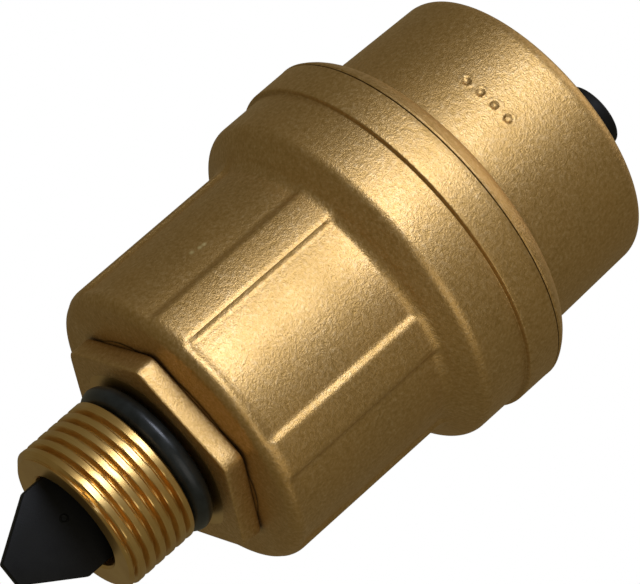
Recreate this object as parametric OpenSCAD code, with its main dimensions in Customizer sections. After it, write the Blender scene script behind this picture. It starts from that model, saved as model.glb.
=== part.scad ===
// Automatic air vent with a float valve, for the high point of a heating circuit.
// Origin: centre of the inlet's end face. +Z runs up the axis to the outlet. Millimetres.

/* [Inlet] */
// Outer radius of the G 3/8 inlet thread
thread_r = 8.33; // [8.2:0.01:8.4]
// Length of the inlet thread
thread_len = 8.3; // [7.8:0.1:8.4]
// Radius of the hole through the inlet
throat_r = 5.5; // [5.4:0.05:5.6]
// Width of the hexagon across its flats
hex_af = 22; // [21:0.5:23]
// Height of the hexagon's underside
hex_z0 = 11.1; // [10.9:0.1:11.2]
// Height of the hexagon's top
hex_z1 = 13.5; // [13.3:0.1:13.7]

/* [Body] */
// Radius of the barrel over its ribs
barrel_r = 16.45; // [16.3:0.05:16.7]
// Height of the barrel's bottom
barrel_z0 = 14; // [13.9:0.1:14.2]
// Height where the barrel starts to widen
barrel_z1 = 32; // [31.5:0.1:32.5]
// Depth of the panels between the ribs
panel_depth = 0.4; // [0.2:0.05:0.5]
// Half width of a panel, in degrees
panel_half = 22; // [20:1:24]
// How far the panels are turned from the hexagon's flats, in degrees
panel_turn = 4.5; // [0:0.5:8]
// Radius of the collar's lower band
collar_r = 19.3; // [19.1:0.05:19.5]
// Radius of the collar's upper band
band_r = 19.8; // [19.7:0.05:20]
// Height of the small step on the collar
step_z = 42.6; // [42:0.1:43]
// Height of the joint between body and cover
seam_z = 46.5; // [46.3:0.1:46.8]
// Radius of the float chamber
chamber_r = 14; // [13.8:0.1:14.1]

/* [Cover] */
// Radius of the cover's wall above its shoulder
cover_r = 16.6; // [16.4:0.05:16.8]
// Height of the cover's flat top
cover_top = 63; // [62.9:0.1:63.3]
// Thickness of the cover's top
cover_wall = 3; // [2.9:0.1:3.1]
// Distance of the outlet's axis from the main axis
vent_x = 3.5; // [3.4:0.1:3.9]

/* [Float valve] */
// Radius of the float
float_r = 12.8; // [12.4:0.1:13]
// How far the float rises from its lowest place
float_travel = 4; // [3:0.5:4]
// Distance from the lever's pivot to the float pin
lever_arm = 11.9; // [11.6:0.1:12]
// Distance from the lever's pivot to the valve pin
valve_arm = 3.6; // [3.5:0.1:3.7]
// Radius of the small hole in the valve seat
seat_hole_r = 0.45; // [0.4:0.05:0.6]

/* [Water blade] */
// Width of the blade
blade_w = 10.2; // [9.8:0.1:10.4]
// Thickness of the blade
blade_t = 1; // [0.8:0.1:1]
// How far the blade stands out of the inlet
blade_out = 8.2; // [7.8:0.1:9]
// How far the blade is turned about the main axis, in degrees
blade_turn = 11.75; // [0:0.25:12]

/* [Knob] */
// Radius of the knob
knob_r = 5.1; // [5:0.1:5.3]
// Radius of the boss on the knob
boss_r = 3.6; // [3.4:0.1:3.7]
// Height of the knob's top
knob_top = 69.2; // [68.8:0.1:69.4]

/* [Hidden] */
$fn = 96;

brass = "#b58f45";
black = "#1c1c1e";
rubber = "#202428";
white = "#e6e3da";
steel = "#a9adb0";

gap = 0.02;                                    // between pieces that sit still against each other
fit = 0.06;                                    // radial clearance of a sliding or turning fit

// inlet and its O-ring
thread_chamfer = 0.45;
neck_r = 6.3;
ring_wire = 1.18;                              // half the O-ring's thickness
ring_z = (thread_len + hex_z0) / 2;
hex_chamfer = 0.5;
waist_r = 11.2;                                // between hexagon and barrel
pocket_r = 7;                                  // seat of the blade's head
pocket_z = 14.8;
pocket_top = 16.8;
floor_z = 19.8;

// joint between body and cover
ledge_z = 40.8;
spigot_r = 17.2;
spigot_z = 42.3;
cover_ring_wire = (spigot_z - ledge_z) / 2 - gap;

// collar and cover outlines
cove_rise = 4.8;
shoulder_top = seam_z + 2.5;
cover_top_r = cover_r - 0.4;
edge_r = 1.8;
ceiling = cover_top - cover_wall;

// stack of the valve under the ceiling
plate_z = ceiling - 1.2;                       // underside of the carrier's plate
seat_flange_z = plate_z - 1.4;                 // underside of the nozzle's flange
seat_z = seat_flange_z - 0.5;                  // lip of the valve seat
valve_lift = float_travel * valve_arm / lever_arm;
seal_z = seat_z - valve_lift - 0.05;           // top of the seal while the valve is open
cup_z = seal_z - 1.05;                         // seat of the seal in its cup
flange_z = cup_z - 0.6;
cage_r = 3.65;
cage_z = flange_z - 0.3;
shank_r = 2.5;
nozzle_top = cover_top + 3;

// lever
pivot_x = vent_x + valve_arm;
pivot_z = ceiling - 9;
lever_tilt = asin(float_travel / 2 / lever_arm);
pin_r = 0.5;
pivot_r = 0.8;
slot_r = pin_r + 0.12;
float_pin_x = pivot_x - lever_arm;
float_pin_z = pivot_z - float_travel / 2;
valve_pin_z = pivot_z - valve_lift / 2;

// float
float_z = 20.8;
lid_z = 44;
lid_t = 1.2;
float_wall = 0.8;

// knob
knob_z = cover_top + 0.3;
disc_z = nozzle_top + 0.05;
disc_t = 0.9;
boss_z = disc_z + disc_t + 0.1;                // shoulder between the knob's skirt and its boss

function arc(x, z, r, from, to, steps = 6) =
    [for (i = [0:steps]) let (a = from + (to - from) * i / steps) [x + r * cos(a), z + r * sin(a)]];

module lathe(outline) rotate_extrude() polygon(outline);

module oring(r, z, wire) rotate_extrude() translate([r, z]) circle(r = wire, $fn = 32);

module tube(r_in, r_out, z0, z1) translate([0, 0, z0]) difference() {
    cylinder(r = r_out, h = z1 - z0);
    translate([0, 0, -1]) cylinder(r = r_in, h = z1 - z0 + 2);
}

// a round bar along Y, centred on y = 0
module bar_y(r, length) rotate([90, 0, 0]) cylinder(r = r, h = length, center = true);

// a slab along Y with a round end at each of two points on X
module slot_y(x0, x1, r, length) {
    translate([x0, 0, 0]) bar_y(r, length);
    translate([x1, 0, 0]) bar_y(r, length);
    translate([x0, -length / 2, -r]) cube([x1 - x0, length, 2 * r]);
}

// both sides of y = 0
module both_y() {
    children();
    mirror([0, 1, 0]) children();
}

// ---- body ----

module body_outline() lathe(concat(
    [[0, 0], [thread_r - thread_chamfer, 0], [thread_r, thread_chamfer], [thread_r, thread_len - 0.3],
     [thread_r - 0.5, thread_len], [neck_r, thread_len], [neck_r, hex_z0 + 1], [waist_r, hex_z0 + 1],
     [waist_r, barrel_z0 - 0.4], [waist_r + 1.2, barrel_z0]],
    arc(barrel_r - 2, barrel_z0 + 2, 2, -90, 0),
    [[barrel_r, barrel_z1]],
    arc(barrel_r + 2.2, barrel_z1, 2.2, 180, 135, 3),
    arc(collar_r - 1.8, barrel_z1 + cove_rise, 1.8, -45, 0, 3),
    [[collar_r, step_z - 0.3], [band_r, step_z + 0.1], [band_r, seam_z - 0.1],
     [band_r - 0.1, seam_z], [0, seam_z]]));

module hexagon() intersection() {
    translate([0, 0, hex_z0]) cylinder(d = hex_af / cos(30), h = hex_z1 - hex_z0, $fn = 6);
    lathe([[0, hex_z0 - 1], [hex_af / 2 + hex_chamfer, hex_z0], [hex_af / 2 + 1.8, hex_z0 + 0.8],
           [hex_af / 2 + 1.8, hex_z1 - 0.6], [hex_af / 2 + hex_chamfer, hex_z1], [0, hex_z1 + 1]]);
}

module chamber() lathe([[0, -1], [throat_r, -1], [throat_r, pocket_z], [pocket_r, pocket_z],
    [pocket_r, pocket_top], [chamber_r, floor_z], [chamber_r, ledge_z], [spigot_r + 0.05, ledge_z],
    [spigot_r + 0.05, seam_z + 1], [0, seam_z + 1]]);

module panels() for (i = [0:5])
    rotate_extrude(angle = 2 * panel_half, start = 60 * i - 90 + panel_turn - panel_half)
        polygon([[barrel_r - panel_depth, barrel_z0 + 2], [barrel_r + 1, barrel_z0 + 1],
                 [barrel_r + 1, barrel_z1 + 0.6], [barrel_r - panel_depth, barrel_z1 - 0.8]]);

module body() color(brass) difference() {
    union() {
        body_outline();
        hexagon();
    }
    chamber();
    panels();
}

module cover() color(brass) difference() {
    lathe(concat(
        [[0, spigot_z], [spigot_r, spigot_z], [spigot_r, seam_z + 0.05], [band_r - 0.05, seam_z + 0.05],
         [band_r + 0.05, seam_z + 0.2]],
        arc(band_r - 3.48, shoulder_top - 3.9, 3.9, 25, 80, 6),
        [[cover_r, shoulder_top], [cover_top_r, cover_top - edge_r]],
        arc(cover_top_r - edge_r, cover_top - edge_r, edge_r, 0, 90),
        [[0, cover_top]]));
    lathe([[0, spigot_z - 1], [chamber_r - 0.1, spigot_z - 1], [chamber_r - 0.1, ceiling - 1.5],
           [chamber_r - 1.6, ceiling], [0, ceiling]]);
    translate([vent_x, 0, ceiling - 1]) cylinder(r = shank_r + gap, h = cover_wall + 2);
    translate([vent_x, 0, ceiling - 1]) cylinder(r = 3.6, h = 1.95);
    translate([vent_x, 4.2, ceiling - 1]) cylinder(r = 0.4 + gap, h = 1.85, $fn = 24);
}

module cover_oring() color(rubber) oring(16.2, (ledge_z + spigot_z) / 2, cover_ring_wire);

module inlet_oring() color(rubber) oring(neck_r + ring_wire + gap, ring_z, ring_wire);

module water_blade() color(black) rotate(blade_turn) {
    shoulder = 2.2;                            // full width ends this far below the end face
    tip_w = 2.6;
    shift = -0.25;                             // the blade leans to one side of the throat
    rotate([90, 0, 0]) translate([0, 0, -blade_t / 2]) linear_extrude(blade_t) polygon([
        [shift - blade_w / 2, pocket_z + 1], [shift - blade_w / 2, -shoulder],
        [shift - tip_w / 2, -blade_out], [shift + tip_w / 2, -blade_out],
        [shift + blade_w / 2, -shoulder], [shift + blade_w / 2, pocket_z + 1]]);
    translate([0, 0, pocket_z + gap]) intersection() {
        cylinder(r = pocket_r - gap, h = 1.7);
        translate([-pocket_r, -blade_t / 2, 0]) cube([2 * pocket_r, blade_t, 2]);
    }
}

// ---- float ----

module float_shell() color(white) difference() {
    lathe([[0, float_z], [5, float_z], [float_r - 1, float_z + 3], [float_r, float_z + 4.5],
           [float_r, lid_z], [0, lid_z]]);
    lathe([[0, float_z + float_wall], [4.8, float_z + float_wall],
           [float_r - 1 - float_wall, float_z + 3 + float_wall / 2],
           [float_r - float_wall, float_z + 4.8], [float_r - float_wall, lid_z + 1], [0, lid_z + 1]]);
}

module float_lid() color(white) {
    translate([0, 0, lid_z + gap]) cylinder(r = float_r, h = lid_t - gap);
    tube(float_r - float_wall - 1, float_r - float_wall - gap, lid_z - 2, lid_z + 0.1);
    difference() {
        translate([float_pin_x, 0, 0]) both_y() translate([0, 0.8, 0]) {
            translate([-1.3, 0, lid_z + lid_t - 0.2]) cube([2.6, 0.8, float_pin_z - lid_z - lid_t + 0.2]);
            translate([0, 0.4, float_pin_z]) bar_y(1.3, 0.8);
        }
        translate([float_pin_x, 0, float_pin_z]) bar_y(pin_r + gap, 6);
    }
}

module float_pin() color(steel) translate([float_pin_x, 0, float_pin_z]) bar_y(pin_r, 3.6);

// ---- lever, drawn level with its pivot at the origin, then tilted to its lowest place ----

module lever() color(steel) translate([pivot_x, 0, pivot_z]) rotate([0, -lever_tilt, 0]) {
    plate_t = 0.6;
    plate_y = 1.5;
    plate_h = 1;
    web_x = -lever_arm / 2 - 1.2;
    tip_x = -lever_arm - 0.08;
    difference() {
        union() {
            both_y() translate([web_x, plate_y, -plate_h]) cube([-web_x, plate_t, 2 * plate_h]);
            both_y() translate([0, plate_y + plate_t / 2, 0]) bar_y(1.4, plate_t);
        }
        bar_y(pivot_r + fit, 6);
        slot_y(-valve_arm - 0.15, -valve_arm + 0.05, slot_r, 6);
    }
    translate([web_x - 0.8, -plate_y - plate_t, -plate_h]) cube([0.9, 2 * (plate_y + plate_t), 2 * plate_h]);
    difference() {
        union() {
            translate([tip_x, -0.5, -0.8]) cube([web_x - 0.7 - tip_x, 1, 1.6]);
            translate([tip_x, 0, 0]) bar_y(1.4, 1);
        }
        slot_y(tip_x - 0.25, tip_x + 0.25, slot_r, 3);
    }
}

module lever_pin() color(steel) translate([pivot_x, 0, pivot_z]) {
    translate([0, 0.05, 0]) bar_y(pivot_r, 7.7);
    translate([0, -3.6, 0]) bar_y(1.3, 0.6);
}

module pin_clip() color(steel) translate([pivot_x, 3.45, pivot_z]) rotate([90, 0, 0]) difference() {
    cylinder(r = 1.5, h = 0.35, center = true);
    cylinder(r = pivot_r + gap, h = 1, center = true);
    translate([-0.5, 0, -0.5]) cube([1, 3, 1]);
}

// ---- valve under the cover ----

module valve_carrier() color(white) {
    ear_y = 2.4;
    ear_t = 0.8;
    ear_r = 1.5;
    difference() {
        union() {
            translate([vent_x, 0, plate_z]) cylinder(r = 4.8, h = ceiling - plate_z - gap);
            translate([vent_x, 0, cage_z]) cylinder(r = 4.5, h = plate_z - cage_z + 0.1);
            both_y() translate([pivot_x - ear_r, ear_y, pivot_z]) cube([2 * ear_r, ear_t, plate_z - pivot_z]);
            both_y() translate([pivot_x, ear_y + ear_t / 2, pivot_z]) bar_y(ear_r, ear_t);
            translate([vent_x, 4.2, plate_z]) cylinder(r = 0.4, h = 1.9, $fn = 24);
        }
        translate([vent_x, 0, cage_z - 1]) cylinder(r = cage_r, h = plate_z - cage_z + 1);
        translate([vent_x, 0, plate_z - 1]) cylinder(r = shank_r + gap, h = 4);
        translate([vent_x - 6, -1.2, cage_z + 1.4]) cube([6, 2.4, 2.2]);
        translate([pivot_x, 0, pivot_z]) bar_y(pivot_r + gap, 12);
        translate([vent_x - 1.2, -6, cage_z + 1.4]) cube([2.4, 12, 2.2]);
    }
}

module nozzle() color(brass) translate([vent_x, 0, 0]) difference() {
    lathe([[0, seat_z], [0.8, seat_z], [1.1, seat_flange_z], [cage_r - fit, seat_flange_z],
           [cage_r - fit, plate_z - gap], [shank_r, plate_z - gap], [shank_r, nozzle_top - 0.3],
           [shank_r - 0.3, nozzle_top], [0, nozzle_top]]);
    translate([0, 0, seat_z - 1]) cylinder(r = seat_hole_r, h = 4, $fn = 32);
    translate([0, 0, plate_z]) cylinder(r = 1.2, h = nozzle_top, $fn = 48);
    translate([2, -0.6, cover_top]) cube([1, 1.2, 4]);
}

module nozzle_oring() color(rubber) translate([vent_x, 0, 0]) oring(3.0, ceiling + 0.48, 0.44);

module valve_stem() color(brass) translate([vent_x, 0, 0]) difference() {
    union() {
        lathe([[0, valve_pin_z], [0.9, valve_pin_z], [0.9, flange_z], [cage_r - fit, flange_z],
               [cage_r - fit, cup_z], [2.1, cup_z], [2.1, cup_z + 0.6], [1.6, cup_z + 0.6],
               [1.6, cup_z], [0, cup_z]]);
        translate([0, 0, valve_pin_z]) bar_y(1.1, 2.4);
    }
    translate([0, 0, valve_pin_z]) bar_y(pin_r + gap, 4);
}

module valve_seal() color(rubber) translate([vent_x, 0, cup_z + gap]) cylinder(r = 1.58, h = seal_z - cup_z);

module valve_pin() color(steel) translate([vent_x, 0, valve_pin_z]) bar_y(pin_r, 4.7);

module valve_spring() color(steel) translate([vent_x, 0, 0]) {
    wire = 0.15;
    coil_r = 2.85;
    turns = 4;
    sides = 8;
    steps = 20 * turns;
    low = cup_z + wire + gap;
    high = seat_flange_z - wire - gap;
    points = [for (i = [0:steps], k = [0:sides - 1])
        let (turn = 360 * turns * i / steps, across = coil_r + wire * cos(360 * k / sides))
        [across * cos(turn), across * sin(turn),
         low + (high - low) * i / steps + wire * sin(360 * k / sides)]];
    sleeve = [for (i = [0:steps - 1], k = [0:sides - 1])
        let (a = i * sides + k, b = i * sides + (k + 1) % sides) [a, b, b + sides, a + sides]];
    first = [for (k = [sides - 1:-1:0]) k];
    last = [for (k = [0:sides - 1]) steps * sides + k];
    polyhedron(points, concat(sleeve, [first], [last]), convexity = 8);
}

// ---- knob ----

module vent_cap() color(black) translate([vent_x, 0, 0]) difference() {
    lathe([[0, knob_z], [knob_r - 0.3, knob_z], [knob_r, knob_z + 0.3], [knob_r, boss_z - 1],
           [knob_r - 0.5, boss_z - 0.4], [boss_r + 0.3, boss_z], [boss_r, boss_z + 0.3],
           [boss_r, knob_top - 0.4], [boss_r - 0.4, knob_top], [0, knob_top]]);
    translate([0, 0, knob_z - 1]) cylinder(r = shank_r + fit, h = 4);
    translate([0, 0, nozzle_top - 0.1]) cylinder(r = 3, h = disc_t + 0.2);
    for (i = [0:11]) rotate(30 * i) translate([knob_r + 0.45, 0, knob_z - 1])
        cylinder(r = 0.7, h = 5, $fn = 16);
}

module cap_seal() color(rubber) translate([vent_x, 0, disc_z]) cylinder(r = 3 - fit, h = disc_t);

body();
cover();
cover_oring();
inlet_oring();
water_blade();
float_shell();
float_lid();
float_pin();
lever();
lever_pin();
pin_clip();
valve_carrier();
nozzle();
nozzle_oring();
valve_stem();
valve_seal();
valve_spring();
valve_pin();
vent_cap();
cap_seal();
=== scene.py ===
"""Looks of the automatic air vent: forged brass, turned thread, rubber ring, blade and knob."""

import math

import bmesh
import bpy
import numpy as np
from mathutils import Matrix, Vector


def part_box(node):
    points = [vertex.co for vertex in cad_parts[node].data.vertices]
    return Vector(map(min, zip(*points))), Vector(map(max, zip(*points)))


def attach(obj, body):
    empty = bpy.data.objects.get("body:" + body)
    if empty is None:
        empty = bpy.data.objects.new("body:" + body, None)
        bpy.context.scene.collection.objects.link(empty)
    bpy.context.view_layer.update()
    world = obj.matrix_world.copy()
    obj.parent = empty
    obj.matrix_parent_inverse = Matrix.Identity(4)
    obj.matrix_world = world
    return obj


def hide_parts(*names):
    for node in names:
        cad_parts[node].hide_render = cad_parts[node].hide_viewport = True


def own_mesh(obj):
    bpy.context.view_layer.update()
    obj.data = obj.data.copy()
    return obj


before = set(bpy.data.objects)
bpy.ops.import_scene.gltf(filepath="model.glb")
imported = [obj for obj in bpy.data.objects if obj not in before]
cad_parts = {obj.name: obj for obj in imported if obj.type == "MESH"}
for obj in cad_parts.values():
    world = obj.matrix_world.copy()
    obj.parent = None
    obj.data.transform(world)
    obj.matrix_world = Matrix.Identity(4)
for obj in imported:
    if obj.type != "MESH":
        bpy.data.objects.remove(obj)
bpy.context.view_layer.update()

MM = 0.001
AXIS = Vector((0, 0, 1))
ON_AXIS = 0.02                                  # outlines stop this far from the axis

# ---- driving sizes in millimetres, from the frame where it has them ----

BODY_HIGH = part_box("body")[1] / MM
COVER_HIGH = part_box("cover")[1] / MM
KNOB_LOW, KNOB_HIGH = [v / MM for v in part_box("vent_cap")]
RING_LOW, RING_HIGH = [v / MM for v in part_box("inlet_oring")]
BLADE_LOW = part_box("water_blade")[0] / MM
SPRING_LOW, SPRING_HIGH = [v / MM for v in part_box("valve_spring")]

THREAD_R = 8.33
THREAD_PITCH = 25.4 / 19
THREAD_DEPTH = 0.66
THREAD_ROOT = 0.03                              # half width of the flat root, in pitches
THREAD_FLANK = 0.24                             # width of one flank, in pitches
THREAD_TOP = 8.3
NECK_R = 6.3
THROAT_R = 5.5
THROAT_TOP = 14.8                               # the blade's head rests in a pocket over the throat
POCKET_R = 7
POCKET_TOP = 16.8
HEX_AF = 22
HEX_CORNER_R = 12.5
HEX_ROUNDING = 6                                # larger is a sharper corner between flats
HEX_BLEND_R = 8                                 # inside this radius the outline stays round
HEX_FACE_R = 9.2                                # edge of the turned face under the hexagon
HEX_Z0 = 11.1
HEX_Z1 = 13.45
WAIST_R = 10.5
BAND_R = BODY_HIGH.x
BARREL_R = BAND_R - 3.35
BARREL_Z0 = 13.9
BARREL_Z1 = 34.2
PANEL_DEPTH = 0.4
PANEL_HALF = 22
WIDE_EDGE = 3.0                                 # slopes between panel and rib, in degrees
NARROW_EDGE = 2.2
RIB_TURN = 4.5
COLLAR_R = BAND_R - 0.5
COLLAR_Z = 37.7
STEP_Z = 42.5
SEAM_Z = BODY_HIGH.z
SEAT_R = 17.25                                  # bore that takes the cover
SEAT_Z = 40.8
CHAMBER_R = 14                                  # float chamber
CHAMBER_Z0 = 19.8
SHOULDER_TOP = SEAM_Z + 2.5
COVER_R = BAND_R - 3.2
COVER_TOP = COVER_HIGH.z
COVER_BORE_R = 13.9
PLUG_R = 17.2                                   # the part of the cover inside the body
PLUG_Z = 42.3
SHOULDER_ARC = 3.9
VENT_X = (KNOB_LOW.x + KNOB_HIGH.x) / 2


# ---- outlines and meshes ----

def smooth(x, low, high):
    """0 below low, 1 above high, and an S-curve between."""
    t = np.clip((x - low) / (high - low), 0, 1)
    return t * t * (3 - 2 * t)


def rounded(corners, spacing=0.12):
    """Outline through corners (r, z, radius, longest step). Each corner is an arc of its radius,
    and the straight stretch after it is split into steps no longer than its longest step."""
    points = []
    count = len(corners)
    pieces = []
    for i in range(count):
        here = np.array(corners[i][:2], float)
        before = np.array(corners[i - 1][:2], float)
        after = np.array(corners[(i + 1) % count][:2], float)
        radius = corners[i][2]
        if radius <= 0:
            pieces.append([here])
            continue
        a, b = before - here, after - here
        a, b = a / np.linalg.norm(a), b / np.linalg.norm(b)
        half = math.acos(np.clip(a @ b, -1, 1)) / 2
        reach = radius / math.tan(half)
        start, end = here + a * reach, here + b * reach
        centre = here + (a + b) / np.linalg.norm(a + b) * radius / math.sin(half)
        steps = max(3, int((math.pi - 2 * half) * radius / spacing))
        arc = []
        for k in range(steps + 1):
            # the arc's points lie on the circle round centre, evenly turned from start to end
            whole = math.pi - 2 * half
            turn = whole * (k / steps)
            u = (start - centre) / radius
            w = (end - centre) / radius
            blend = u * math.sin(whole - turn) + w * math.sin(turn)
            arc.append(centre + radius * blend / math.sin(whole))
        pieces.append(arc)
    for i in range(count):
        points.extend(pieces[i])
        longest = corners[i][3]
        a, b = pieces[i][-1], pieces[(i + 1) % count][0]
        parts = int(math.ceil(np.linalg.norm(b - a) / longest))
        points.extend(a + (b - a) * k / parts for k in range(1, parts))
    return np.array(points)


def new_object(name, verts, faces, material, smooth_angle=32):
    """A mesh object from millimetre points, shaded smooth except over sharp edges."""
    mesh = bpy.data.meshes.new(name)
    mesh.from_pydata([tuple(v) for v in np.asarray(verts) * MM], [], faces)
    mesh.validate()
    finish_mesh(mesh, smooth_angle)
    obj = bpy.data.objects.new(name, mesh)
    bpy.context.scene.collection.objects.link(obj)
    mesh.materials.append(material)
    return obj


def finish_mesh(mesh, smooth_angle):
    """Faces point outwards, and edges sharper than smooth_angle degrees stay sharp."""
    work = bmesh.new()
    work.from_mesh(mesh)
    bmesh.ops.recalc_face_normals(work, faces=work.faces)
    work.to_mesh(mesh)
    work.free()
    mesh.shade_smooth()
    mesh.set_sharp_from_angle(angle=math.radians(smooth_angle))


def lathe(name, outline, material, steps=240, shape=None, centre=(0, 0), smooth_angle=32):
    """A closed solid of revolution from an outline that closes on itself. shape(phi, r, z) may
    change the radius."""
    r, z = outline[:, 0], outline[:, 1]
    phi = np.arange(steps) * 2 * math.pi / steps
    radius = np.repeat(r[:, None], steps, 1)
    if shape is not None:
        radius = shape(phi[None, :], radius, np.repeat(z[:, None], steps, 1))
    verts = np.stack([radius * np.cos(phi) + centre[0], radius * np.sin(phi) + centre[1],
                      np.repeat(z[:, None], steps, 1)], -1).reshape(-1, 3)
    rows = len(r)
    faces = []
    for i in range(rows):
        j = (i + 1) % rows
        for k in range(steps):
            m = (k + 1) % steps
            faces.append((i * steps + k, i * steps + m, j * steps + m, j * steps + k))
    return new_object(name, verts, faces, material, smooth_angle)


def dress(obj, body, slot, *replaced):
    """The piece rides on its body and stands for CAD nodes. The slot argument is not used."""
    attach(obj, body)
    if replaced:
        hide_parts(*replaced)
    return obj


# ---- materials ----

class Nodes:
    """Short names for building one material's node tree."""

    def __init__(self, name):
        self.material = bpy.data.materials.new(name)
        self.material.use_nodes = True
        self.tree = self.material.node_tree
        self.shader = self.tree.nodes["Principled BSDF"]
        coordinates = self.tree.nodes.new("ShaderNodeTexCoord")
        self.place = coordinates.outputs["Object"]

    def link(self, a, b):
        self.tree.links.new(a, b)

    def set(self, **values):
        for name, value in values.items():
            self.shader.inputs[name.replace("_", " ")].default_value = value

    def scaled(self, x, y, z):
        mapping = self.tree.nodes.new("ShaderNodeMapping")
        mapping.inputs["Scale"].default_value = (x, y, z)
        self.link(self.place, mapping.inputs["Vector"])
        return mapping.outputs["Vector"]

    def noise(self, size, detail=3.0, rough=0.6, stretch=(1, 1, 1)):
        """Noise whose features are about size millimetres across."""
        node = self.tree.nodes.new("ShaderNodeTexNoise")
        node.inputs["Scale"].default_value = 1 / (size * MM)
        node.inputs["Detail"].default_value = detail
        node.inputs["Roughness"].default_value = rough
        if stretch != (1, 1, 1):
            self.link(self.scaled(*stretch), node.inputs["Vector"])
        else:
            self.link(self.place, node.inputs["Vector"])
        return node.outputs["Fac"]

    def occlusion(self, reach):
        """1 on open surfaces, less inside grooves and corners narrower than reach millimetres. The
        brass finishes use it to paint shade into their colour.
        """
        node = self.tree.nodes.new("ShaderNodeAmbientOcclusion")
        node.samples = 8
        node.inputs["Distance"].default_value = reach * MM
        return node.outputs["AO"]

    def away(self, point):
        """Distance in metres from a point given in millimetres."""
        node = self.tree.nodes.new("ShaderNodeVectorMath")
        node.operation = "DISTANCE"
        self.link(self.place, node.inputs[0])
        node.inputs[1].default_value = Vector(point) * MM
        return node.outputs["Value"]

    def ramp(self, value, *stops):
        node = self.tree.nodes.new("ShaderNodeValToRGB")
        elements = node.color_ramp.elements
        while len(elements) < len(stops):
            elements.new(0.5)
        for element, (place, colour) in zip(elements, stops):
            element.position = place
            element.color = (*colour, 1)
        self.link(value, node.inputs["Fac"])
        return node.outputs["Color"]

    def range(self, value, low, high, to_low, to_high):
        node = self.tree.nodes.new("ShaderNodeMapRange")
        numbers = {"From Min": low, "From Max": high, "To Min": to_low, "To Max": to_high}
        for name, number in numbers.items():
            node.inputs[name].default_value = number
        self.link(value, node.inputs["Value"])
        return node.outputs["Result"]

    def mix(self, factor, a, b):
        """a where factor is 0 and b where it is 1. Both are an output or a plain colour."""
        node = self.tree.nodes.new("ShaderNodeMix")
        node.data_type = "RGBA"
        for value, name in ((factor, "Factor"), (a, "A"), (b, "B")):
            socket = [s for s in node.inputs if s.name == name and s.enabled][0]
            if hasattr(value, "links"):
                self.link(value, socket)
            else:
                socket.default_value = (*value, 1)
        return [s for s in node.outputs if s.enabled][0]

    def add(self, a, b, weight):
        """a + b * weight"""
        node = self.tree.nodes.new("ShaderNodeMath")
        node.operation = "MULTIPLY_ADD"
        self.link(b, node.inputs[0])
        node.inputs[1].default_value = weight
        self.link(a, node.inputs[2])
        return node.outputs[0]

    def bump(self, height, distance):
        """distance is the height in millimetres of the texture's full range."""
        node = self.tree.nodes.new("ShaderNodeBump")
        node.inputs["Distance"].default_value = distance * MM
        node.inputs["Strength"].default_value = 1.0
        self.link(height, node.inputs["Height"])
        self.link(node.outputs["Normal"], self.shader.inputs["Normal"])

    def colour(self, output):
        self.link(output, self.shader.inputs["Base Color"])

    def roughness(self, output):
        self.link(output, self.shader.inputs["Roughness"])


def forged_brass():
    """Sand-blasted forging: fine grain with bright and dull specks and a slow drift of tone, with
    painted shade darkening its grooves, coves and corners.
    """
    n = Nodes("forged_brass")
    n.set(Metallic=1.0)
    grain = n.noise(0.38, detail=4, rough=0.7)
    speck = n.noise(0.16, detail=2, rough=0.5)
    drift = n.noise(7, detail=3, rough=0.5)
    base = n.ramp(grain, (0.30, (0.51, 0.315, 0.100)), (0.52, (0.65, 0.42, 0.165)),
                  (0.74, (0.78, 0.565, 0.29)))
    dulled = n.mix(n.range(drift, 0.35, 0.7, 0.0, 0.35), base, (0.52, 0.31, 0.085))
    # painted shade: the colour darkens towards dark brown in grooves, coves and corners narrower
    # than 0.9 mm
    tone = n.mix(n.range(n.occlusion(0.9), 0.45, 0.95, 0.5, 0.0), dulled, (0.17, 0.115, 0.05))
    for nick in NICKS:
        near = n.range(n.away(nick), 0.10 * MM, 0.34 * MM, 1.0, 0.0)
        tone = n.mix(near, tone, (0.97, 0.80, 0.42))
    n.colour(tone)
    n.roughness(n.range(n.add(drift, grain, 0.6), 0.4, 1.2, 0.39, 0.54))
    n.bump(n.add(grain, speck, 0.45), 0.055)
    return n.material


def turned_brass():
    """Machined brass: bright, with fine rings left by the tool, and painted shade darkening the
    thread's grooves and other tight corners.
    """
    n = Nodes("turned_brass")
    n.set(Metallic=1.0)
    rings = n.noise(1.0, detail=3, rough=0.6, stretch=(0.03, 0.03, 9))
    drift = n.noise(4, detail=2)
    base = n.ramp(drift, (0.3, (0.66, 0.41, 0.13)), (0.7, (0.80, 0.55, 0.21)))
    worn = n.mix(n.range(rings, 0.35, 0.7, 0.0, 0.4), base, (0.56, 0.34, 0.10))
    # painted shade: the colour darkens to dark brown in the thread's grooves and corners narrower
    # than 0.4 mm
    n.colour(n.mix(n.range(n.occlusion(0.4), 0.35, 0.9, 0.2, 0.0), worn, (0.20, 0.12, 0.045)))
    n.roughness(n.range(rings, 0.3, 0.7, 0.30, 0.40))
    n.bump(rings, 0.006)
    return n.material


def rubber():
    """Black sealing rubber with a faint bloom and fine moulding texture."""
    n = Nodes("black_rubber")
    n.set(Metallic=0.0, Specular_IOR_Level=0.38)
    bloom = n.noise(1.6, detail=4)
    fine = n.noise(0.12, detail=2)
    n.colour(n.ramp(bloom, (0.3, (0.009, 0.011, 0.011)), (0.75, (0.020, 0.024, 0.024))))
    n.roughness(n.range(bloom, 0.3, 0.7, 0.28, 0.42))
    n.bump(fine, 0.008)
    return n.material


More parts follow.
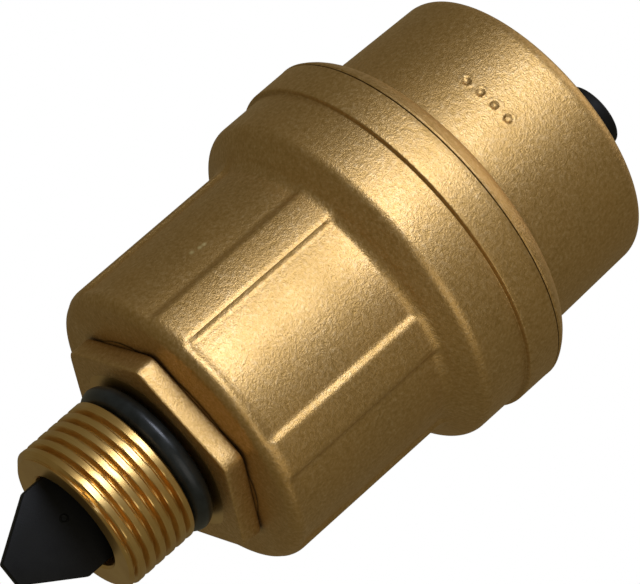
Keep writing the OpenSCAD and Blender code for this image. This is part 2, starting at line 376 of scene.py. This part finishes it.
def black_plastic():
    """Moulded black plastic with a fine eroded grain."""
    n = Nodes("black_plastic")
    n.set(Metallic=0.0, Specular_IOR_Level=0.18)
    grain = n.noise(0.14, detail=3)
    drift = n.noise(3, detail=2)
    n.colour(n.ramp(drift, (0.3, (0.003, 0.003, 0.003)), (0.75, (0.007, 0.007, 0.006))))
    n.roughness(n.range(drift, 0.3, 0.7, 0.48, 0.62))
    around_gate = n.range(n.away(GATE_MARK), 0, MM, 0, 1)
    ring = n.ramp(around_gate, (0.22, (0.1, 0.1, 0.1)), (0.36, (1, 1, 1)), (0.5, (0, 0, 0)))
    n.bump(n.add(grain, ring, 8.0), 0.012)
    return n.material


def white_plastic():
    """Natural acetal and polypropylene: milky, slightly uneven, lightly coated."""
    n = Nodes("white_plastic")
    n.set(Metallic=0.0, Subsurface_Weight=0.15, Subsurface_Scale=0.0008)
    flow = n.noise(5, detail=3)
    grain = n.noise(0.2, detail=2)
    n.colour(n.ramp(flow, (0.3, (0.70, 0.68, 0.61)), (0.7, (0.80, 0.79, 0.74))))
    n.roughness(n.range(flow, 0.3, 0.7, 0.35, 0.48))
    n.bump(grain, 0.008)
    return n.material


def drawn_steel():
    """Stainless steel with fine drawing lines."""
    n = Nodes("drawn_steel")
    n.set(Metallic=1.0)
    lines = n.noise(0.5, detail=3, stretch=(0.4, 6, 6))
    n.colour(n.ramp(lines, (0.3, (0.46, 0.46, 0.45)), (0.7, (0.64, 0.64, 0.63))))
    n.roughness(n.range(lines, 0.3, 0.7, 0.24, 0.38))
    n.bump(lines, 0.006)
    return n.material


# small knocks on the barrel, and the round mark on the blade's face
NICKS = ((-11.4, -11.3, 23.2), (-11.25, -11.45, 24.1), (-11.2, -11.5, 24.6))
GATE_MARK = (-0.84, -0.68, -0.6)

BRASS = forged_brass()
TURNED = turned_brass()
RUBBER = rubber()
BLACK = black_plastic()
WHITE = white_plastic()
STEEL = drawn_steel()


# ---- body ----

def body_radius(phi, r, z):
    """Adds the helix, the hexagon and the ribs to the body's plain outline."""
    degrees = np.degrees(phi)
    outer_thread = (z < THREAD_TOP) & (r > NECK_R + 0.2)
    phase = (z / THREAD_PITCH - phi / (2 * math.pi)) % 1
    from_root = np.abs(phase - 0.5)
    groove = THREAD_DEPTH * (1 - smooth(from_root, THREAD_ROOT, THREAD_ROOT + THREAD_FLANK))
    groove = groove * (1 - smooth(z, THREAD_TOP - 1.0, THREAD_TOP - 0.35))
    r = np.where(outer_thread, np.minimum(r, THREAD_R - groove), r)

    in_hex = (z > HEX_Z0 - 0.01) & (z < HEX_Z1 + 0.01) & (r < HEX_CORNER_R + 0.1) & (r > NECK_R)
    from_flat = np.abs((degrees % 60) - 30)         # 0 at the middle of a flat, 30 at a corner
    flat = HEX_AF / 2 / np.cos(np.radians(from_flat))
    flat = -np.log(np.exp(-flat * HEX_ROUNDING)
                   + np.exp(-(HEX_CORNER_R + 0.02) * HEX_ROUNDING)) / HEX_ROUNDING
    weight = np.clip((r - HEX_BLEND_R) / (HEX_CORNER_R - HEX_BLEND_R), 0, 1)
    r = np.where(in_hex, r * (1 + weight * (flat / HEX_CORNER_R - 1)), r)

    on_barrel = (r > BARREL_R - 3) & (z > BARREL_Z0 - 0.1) & (z < COLLAR_Z)
    across = ((degrees - RIB_TURN + 120) % 60) - 30      # 0 at the middle of a panel
    panel = 1 - smooth(across, PANEL_HALF - WIDE_EDGE / 2, PANEL_HALF + WIDE_EDGE / 2)
    panel = panel - smooth(-across, PANEL_HALF - NARROW_EDGE / 2, PANEL_HALF + NARROW_EDGE / 2)
    from_low = smooth(z, BARREL_Z0 + 0.4, BARREL_Z0 + 2.0)
    to_high = 1 - smooth(z, BARREL_Z1 - 0.3, BARREL_Z1 + 1.4)
    return np.where(on_barrel, r - PANEL_DEPTH * panel * (from_low * to_high), r)


def make_body():
    """Forged body in one piece. Its thread, neck and chamber get the turned finish."""
    outer = [
        (THROAT_R + 0.25, 0, 0, 0.6), (THREAD_R - 0.65, 0, 0.12, 0.15), (THREAD_R, 0.6, 0, 0.085),
        (THREAD_R, THREAD_TOP - 0.25, 0.1, 0.1), (THREAD_R - 0.5, THREAD_TOP, 0.1, 0.5),
        (NECK_R, THREAD_TOP, 0.25, 0.5), (NECK_R, HEX_Z0, 0.25, 0.5),
        (HEX_CORNER_R, HEX_Z0, 0.22, 0.5), (HEX_CORNER_R, HEX_Z1, 0.22, 0.5),
        (WAIST_R, HEX_Z1 + 0.03, 0, 0.4),
        (BARREL_R, BARREL_Z0 + 0.15, 1.7, 0.35), (BARREL_R, BARREL_Z1 + 0.6, 1.5, 0.3),
        (COLLAR_R, COLLAR_Z - 0.6, 1.5, 0.6), (COLLAR_R, STEP_Z - 0.05, 0.1, 0.2),
        (BAND_R, STEP_Z + 0.1, 0.15, 0.8), (BAND_R, SEAM_Z, 0.06, 0.5)]
    inner = [
        (SEAT_R, SEAM_Z, 0.1, 1), (SEAT_R, SEAT_Z, 0.2, 1),
        (CHAMBER_R, SEAT_Z, 0.2, 1.2), (CHAMBER_R, CHAMBER_Z0, 0.8, 1),
        (POCKET_R, POCKET_TOP, 0.3, 0.6), (POCKET_R, THROAT_TOP, 0.1, 0.6),
        (THROAT_R, THROAT_TOP, 0.1, 0.6), (THROAT_R, 0.25, 0, 0.3)]
    obj = lathe("housing_body", rounded(outer + inner), BRASS, steps=360, shape=body_radius,
                smooth_angle=28)
    obj.data.materials.append(TURNED)
    for polygon in obj.data.polygons:
        x, y, z = polygon.center / MM
        r = math.hypot(x, y)
        on_thread = z < HEX_Z0 - 0.03 or (r < HEX_FACE_R and z < HEX_Z0 + 0.05)
        in_chamber = r < CHAMBER_R + 0.3 and z > THROAT_TOP - 0.6
        polygon.material_index = 1 if on_thread or in_chamber else 0
    return dress(obj, "housing", "forged_brass", "body")


# ---- cover ----

PUNCHES = 4                                     # plain round punch marks in a row on the wall
PUNCH_R = 0.5
PUNCH_DEPTH = 0.2
PUNCH_Z = 54.6
PUNCH_TURN = -103                               # direction of the row's middle, in degrees from +X
PUNCH_STEP = 1.9


def cover_radius(phi, r, z):
    """Adds the punched dots, each with a low raised rim, to the cover's wall."""
    for k in range(PUNCHES):
        middle = math.radians(PUNCH_TURN) + (k - (PUNCHES - 1) / 2) * PUNCH_STEP / COVER_R
        along = (((phi - middle + math.pi) % (2 * math.pi)) - math.pi) * COVER_R
        away = np.sqrt(along ** 2 + (z - PUNCH_Z) ** 2) / PUNCH_R
        rim = 0.04 * np.exp(-((away - 1.25) / 0.22) ** 2)
        dent = PUNCH_DEPTH * (1 - smooth(away, 0.45, 1.0)) - rim
        r = np.where(r > COVER_R - 1.2, r - dent, r)
    return r


def make_cover():
    """Cover with a rounded shoulder. Its top is closed, and the nozzle passes through it."""
    edge = 1.8
    top_r = COVER_R - 0.4
    ceiling = COVER_TOP - 3
    arc_x, arc_z = BAND_R - 3.48, SHOULDER_TOP - SHOULDER_ARC
    shoulder = [(arc_x + SHOULDER_ARC * math.cos(math.radians(a)),
                 arc_z + SHOULDER_ARC * math.sin(math.radians(a)), 0, 0.5)
                for a in range(26, 81, 6)]
    outline = rounded([
        (COVER_BORE_R, PLUG_Z, 0, 1), (PLUG_R, PLUG_Z, 0.3, 1), (PLUG_R, SEAM_Z + 0.1, 0, 0.8),
        (BAND_R - 0.02, SEAM_Z + 0.1, 0.06, 0.2), *shoulder,
        (COVER_R, SHOULDER_TOP, 0.15, 0.16), (top_r, COVER_TOP, edge, 0.8),
        (ON_AXIS, COVER_TOP, 0, 1), (ON_AXIS, ceiling, 0, 0.8),
        (COVER_BORE_R - 1.5, ceiling, 0.3, 0.8), (COVER_BORE_R, ceiling - 1.5, 0.3, 1)])
    obj = lathe("housing_cover", outline, BRASS, steps=540, shape=cover_radius, smooth_angle=26)
    return dress(obj, "housing", "forged_brass", "cover")


# ---- rubber ring, blade, knob ----

def make_ring():
    """The O-ring under the hexagon, with the fine flash line of its mould."""
    wire = (RING_HIGH.z - RING_LOW.z) / 2
    middle = RING_HIGH.x - wire
    height = (RING_HIGH.z + RING_LOW.z) / 2
    sides, flash = 40, 0.02
    turn = np.arange(sides) * 2 * math.pi / sides
    bead = wire - flash + flash * np.exp(-(np.sin(turn) / 0.12) ** 2) * (np.cos(turn) > 0)
    outline = np.stack([middle + bead * np.cos(turn), height + bead * np.sin(turn)], -1)
    obj = lathe("inlet_ring", outline, RUBBER)
    return dress(obj, "housing", "black_rubber", "inlet_oring")


def make_blade():
    """Flat plastic blade with bevelled edges and a wide head that rests in the body's pocket."""
    turn = math.radians(11.75)
    shift, width, thick, tip = -0.25, 10.2, 1.0, 2.6
    low, shoulder, top = BLADE_LOW.z, -2.2, THROAT_TOP
    head, head_low, head_high = 6.9, top + 0.05, top + 1.7
    outline = [(shift - width / 2, top), (shift - width / 2, shoulder), (shift - tip / 2, low),
               (shift + tip / 2, low), (shift + width / 2, shoulder), (shift + width / 2, top),
               (head, head_low), (head, head_high), (-head, head_high), (-head, head_low)]
    work = bmesh.new()
    front = [work.verts.new((x * MM, -thick / 2 * MM, z * MM)) for x, z in outline]
    face = work.faces.new(front)
    grown = bmesh.ops.extrude_face_region(work, geom=[face])
    for vert in [g for g in grown["geom"] if isinstance(g, bmesh.types.BMVert)]:
        vert.co.y += thick * MM
    bmesh.ops.recalc_face_normals(work, faces=work.faces)
    bmesh.ops.bevel(work, geom=list(work.edges), offset=0.16 * MM, segments=3, profile=0.5,
                    affect="EDGES")
    mesh = bpy.data.meshes.new("blade")
    work.to_mesh(mesh)
    work.free()
    obj = bpy.data.objects.new("water_blade_piece", mesh)
    bpy.context.scene.collection.objects.link(obj)
    mesh.transform(Matrix.Rotation(turn, 4, "Z"))
    finish_mesh(mesh, 30)
    mesh.materials.append(BLACK)
    return dress(obj, "housing", "black_plastic", "water_blade")


def make_knob():
    """Knob with a fluted skirt and a plain boss, hollow from below for nozzle and seal disc."""
    flutes = 12
    radius = KNOB_HIGH.x - VENT_X

    def fluted(phi, r, z):
        wave = np.clip(np.cos(phi * flutes) - 0.35, 0, 1) / 0.65
        fade = smooth(r, 4.2, 4.9)
        return r - 0.26 * smooth(wave, 0, 1) * fade

    low, high = KNOB_LOW.z, KNOB_HIGH.z
    boss, step = 3.6, high - 2.15
    bore, bore_top = 2.56, low + 2.7
    disc_r, disc_top = 3, low + 3.7
    outline = rounded([
        (bore, low, 0.1, 0.4), (radius, low, 0.25, 0.25), (radius, step - 0.5, 0.5, 0.3),
        (boss + 0.1, step, 0.1, 0.2), (boss, high, 0.3, 0.5), (ON_AXIS, high, 0, 0.6),
        (ON_AXIS, disc_top, 0, 0.6), (disc_r, disc_top, 0, 0.3), (disc_r, bore_top, 0, 0.3),
        (bore, bore_top, 0, 0.5)])
    obj = lathe("vent_knob", outline, BLACK, shape=fluted, centre=(VENT_X, 0))
    return dress(obj, "knob", "black_plastic", "vent_cap")


# ---- spring ----

def make_spring():
    """Round-wire spring, built at one length; in the vent it shortens towards the nozzle as the
    valve lifts.
    """
    wire, turns, sides = 0.15, 4, 12
    coil = SPRING_HIGH.x - VENT_X - wire
    low, high = SPRING_LOW.z + wire, SPRING_HIGH.z - wire
    steps = 60 * turns
    verts, faces = [], []
    for i in range(steps + 1):
        turn = 2 * math.pi * turns * i / steps
        for k in range(sides):
            a = 2 * math.pi * k / sides
            across = coil + wire * math.cos(a)
            verts.append((VENT_X + across * math.cos(turn), across * math.sin(turn),
                          low + (high - low) * i / steps + wire * math.sin(a)))
    for i in range(steps):
        for k in range(sides):
            m = (k + 1) % sides
            faces.append((i * sides + k, i * sides + m, (i + 1) * sides + m, (i + 1) * sides + k))
    faces.append(tuple(range(sides)))
    faces.append(tuple(steps * sides + k for k in range(sides)))
    obj = new_object("valve_spring_coil", verts, faces, STEEL)
    dress(obj, "housing", "steel", "valve_spring")
    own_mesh(obj)
    return obj


# ---- inner CAD pieces keep their shape and get a finish ----

FINISHES = {
    "cover_oring": RUBBER, "nozzle_oring": RUBBER, "valve_seal": RUBBER, "cap_seal": RUBBER,
    "float_shell": WHITE, "float_lid": WHITE, "valve_carrier": WHITE,
    "float_pin": STEEL, "lever": STEEL, "lever_pin": STEEL, "pin_clip": STEEL, "valve_pin": STEEL,
    "nozzle": TURNED, "valve_stem": TURNED}


def finish_nodes():
    """Gives each inner CAD node its finish."""
    for name, material in FINISHES.items():
        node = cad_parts[name]
        node.data.materials.clear()
        node.data.materials.append(material)


# ---- stage, lights, camera ----

TILT = 21                                       # degrees that the camera looks up along the axis
SIDE = 2.75                                     # degrees that it stands towards +X
ROLL = 41.2                                     # angle of the object's axis above the horizontal
DISTANCE = 0.45
PICTURE_MM = 62.745                             # width of the object plane that the picture covers
SENSOR_MM = 36
LOOK_Z = 34.5
LOOK_X = -1.065
LIT_Z = 33                                      # height on the axis where the lights point


def view_axes():
    """The camera's directions before its roll: ahead, right and up."""
    side, tilt = math.radians(SIDE), math.radians(TILT)
    level = math.cos(tilt)
    ahead = Vector((-math.sin(side) * level, math.cos(side) * level, math.sin(tilt)))
    right = Vector((math.cos(side), math.sin(side), 0))
    return ahead, right, right.cross(ahead)


def make_camera():
    ahead, right, up = view_axes()
    roll = math.radians(ROLL)
    picture_right = right * math.sin(roll) + up * math.cos(roll)
    picture_up = up * math.sin(roll) - right * math.cos(roll)
    target = (AXIS * LOOK_Z + right * LOOK_X) * MM
    data = bpy.data.cameras.new("camera")
    data.sensor_width = SENSOR_MM
    data.lens = SENSOR_MM * DISTANCE / (PICTURE_MM * MM)
    data.clip_start, data.clip_end = 0.01, 20
    camera = bpy.data.objects.new("camera", data)
    place = Matrix((picture_right, picture_up, -ahead)).transposed().to_4x4()
    place.translation = target - ahead * DISTANCE
    camera.matrix_world = place
    bpy.context.scene.collection.objects.link(camera)
    bpy.context.scene.camera = camera


def area_light(name, right_mm, up_mm, back_mm, size, power, colour):
    """A soft light placed from the object's middle along the camera's own right, up and back."""
    ahead, right, up = view_axes()
    target = AXIS * LIT_Z * MM
    data = bpy.data.lights.new(name, "AREA")
    data.shape = "DISK"
    data.size = size
    data.energy = power
    data.color = colour
    lamp = bpy.data.objects.new(name, data)
    place = target + (right * right_mm + up * up_mm - ahead * back_mm) * MM
    aim = (target - place).to_track_quat("-Z", "Y").to_matrix().to_4x4()
    lamp.matrix_world = Matrix.Translation(place) @ aim
    bpy.context.scene.collection.objects.link(lamp)


def make_stage():
    """A plain pale floor well below the object, left out of its light and its reflections."""
    material = bpy.data.materials.new("pale_floor")
    material.use_nodes = True
    shader = material.node_tree.nodes["Principled BSDF"]
    shader.inputs["Base Color"].default_value = (0.9, 0.9, 0.9, 1)
    shader.inputs["Roughness"].default_value = 0.8
    shader.inputs["Emission Color"].default_value = (1, 1, 1, 1)
    shader.inputs["Emission Strength"].default_value = 0.55
    mesh = bpy.data.meshes.new("floor")
    half, drop = 6, -0.9
    corners = [(-half, -half, drop), (half, -half, drop), (half, half, drop), (-half, half, drop)]
    mesh.from_pydata(corners, [], [(0, 1, 2, 3)])
    mesh.materials.append(material)
    floor = bpy.data.objects.new("floor", mesh)
    floor.visible_glossy = False
    floor.visible_diffuse = False
    bpy.context.scene.collection.objects.link(floor)


def make_world():
    """White to the camera, and a dim warm surrounding light on the object."""
    world = bpy.data.worlds.new("studio")
    world.use_nodes = True
    bpy.context.scene.world = world
    tree = world.node_tree
    tree.nodes.clear()
    output = tree.nodes.new("ShaderNodeOutputWorld")
    mix = tree.nodes.new("ShaderNodeMixShader")
    path = tree.nodes.new("ShaderNodeLightPath")
    seen = tree.nodes.new("ShaderNodeBackground")
    seen.inputs["Color"].default_value = (1, 1, 1, 1)
    seen.inputs["Strength"].default_value = 1.0
    around = tree.nodes.new("ShaderNodeBackground")
    around.inputs["Color"].default_value = (1.0, 0.90, 0.60, 1)
    around.inputs["Strength"].default_value = 0.155
    tree.links.new(path.outputs["Is Camera Ray"], mix.inputs[0])
    tree.links.new(around.outputs[0], mix.inputs[1])
    tree.links.new(seen.outputs[0], mix.inputs[2])
    tree.links.new(mix.outputs[0], output.inputs["Surface"])


make_body()
make_cover()
make_ring()
make_blade()
make_knob()
make_spring()
finish_nodes()
make_camera()
area_light("key", -155, 278, 400, 0.26, 1.82, (0.79, 0.845, 1.0))
area_light("top", 0, 420, -130, 0.3, 0.35, (1.0, 0.95, 0.92))
area_light("fill", 260, -40, 300, 0.30, 0.25, (1.0, 0.95, 0.88))
make_stage()
make_world()
bpy.context.scene.view_settings.view_transform = "Standard"
